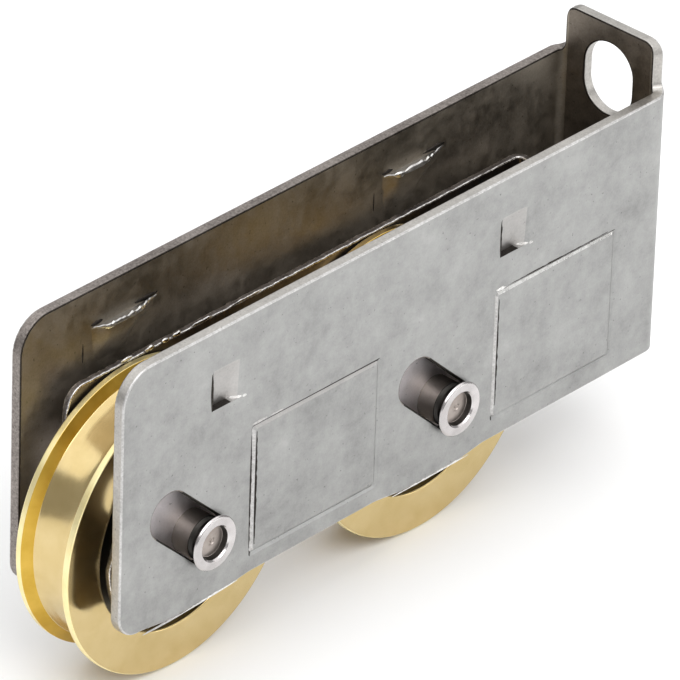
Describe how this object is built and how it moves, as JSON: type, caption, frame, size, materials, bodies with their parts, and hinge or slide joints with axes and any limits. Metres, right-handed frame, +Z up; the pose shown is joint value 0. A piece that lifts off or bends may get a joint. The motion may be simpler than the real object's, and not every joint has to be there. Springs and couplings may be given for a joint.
{
  "type": "sliding door roller",
  "caption": "Tandem sliding door roller: grooved brass wheels on ball bearings, in a carrier that slides along the inclined slots of a bent stainless steel housing.",
  "frame": {"origin": "on the rail, where the wheels touch it, under the middle of the object's bounding box", "axes": "+X along the housing towards its closed end, +Y along the axles towards the rear plate, +Z up"},
  "size_m": [0.0994, 0.0204, 0.0536],
  "materials": {
    "stainless_sheet": "matte rolled sheet",
    "carrier_steel": "smooth cold-rolled sheet",
    "brass": "turned and polished",
    "rivet_steel": "bright turned",
    "bearing_steel": "ground and polished",
    "shield_steel": "pressed sheet"
  },
  "bodies": {
    "housing": {"housing": "stainless_sheet"},
    "carrier": {"carrier": "carrier_steel", "axle_left": "rivet_steel", "inner_race_left": "bearing_steel", "spacer_front_left": "bearing_steel", "spacer_rear_left": "bearing_steel", "axle_right": "rivet_steel", "inner_race_right": "bearing_steel", "spacer_front_right": "bearing_steel", "spacer_rear_right": "bearing_steel"},
    "wheel_set_left": {"wheel_left": "brass", "outer_race_left": "bearing_steel", "shield_front_left": "shield_steel", "shield_rear_left": "shield_steel"},
    "ball_set_left": {"cage_left": "shield_steel", "ball_left_1": "bearing_steel", "ball_left_2": "bearing_steel", "ball_left_3": "bearing_steel", "ball_left_4": "bearing_steel", "ball_left_5": "bearing_steel", "ball_left_6": "bearing_steel", "ball_left_7": "bearing_steel"},
    "wheel_set_right": {"wheel_right": "brass", "outer_race_right": "bearing_steel", "shield_front_right": "shield_steel", "shield_rear_right": "shield_steel"},
    "ball_set_right": {"cage_right": "shield_steel", "ball_right_1": "bearing_steel", "ball_right_2": "bearing_steel", "ball_right_3": "bearing_steel", "ball_right_4": "bearing_steel", "ball_right_5": "bearing_steel", "ball_right_6": "bearing_steel", "ball_right_7": "bearing_steel"}
  },
  "joints": [
    {"name": "height_slide", "type": "slide", "parent": "housing", "child": "carrier", "axis": [-0.7314, 0, 0.682], "range_m": [0, 0.0093]},
    {"name": "wheel_spin_left", "type": "hinge", "parent": "carrier", "child": "wheel_set_left", "pos_m": [-0.03062, 0, 0.01905], "axis": [0, 1, 0], "continuous": true},
    {"name": "ball_set_spin_left", "type": "hinge", "parent": "carrier", "child": "ball_set_left", "pos_m": [-0.03062, 0, 0.01905], "axis": [0, 1, 0], "continuous": true},
    {"name": "wheel_spin_right", "type": "hinge", "parent": "carrier", "child": "wheel_set_right", "pos_m": [0.01188, 0, 0.01905], "axis": [0, 1, 0], "continuous": true},
    {"name": "ball_set_spin_right", "type": "hinge", "parent": "carrier", "child": "ball_set_right", "pos_m": [0.01188, 0, 0.01905], "axis": [0, 1, 0], "continuous": true}
  ],
  "couplings": [
    {"joint": "ball_set_spin_left", "follows": "wheel_spin_left", "ratio": 0.6071},
    {"joint": "ball_set_spin_right", "follows": "wheel_spin_right", "ratio": 0.6071}
  ]
}
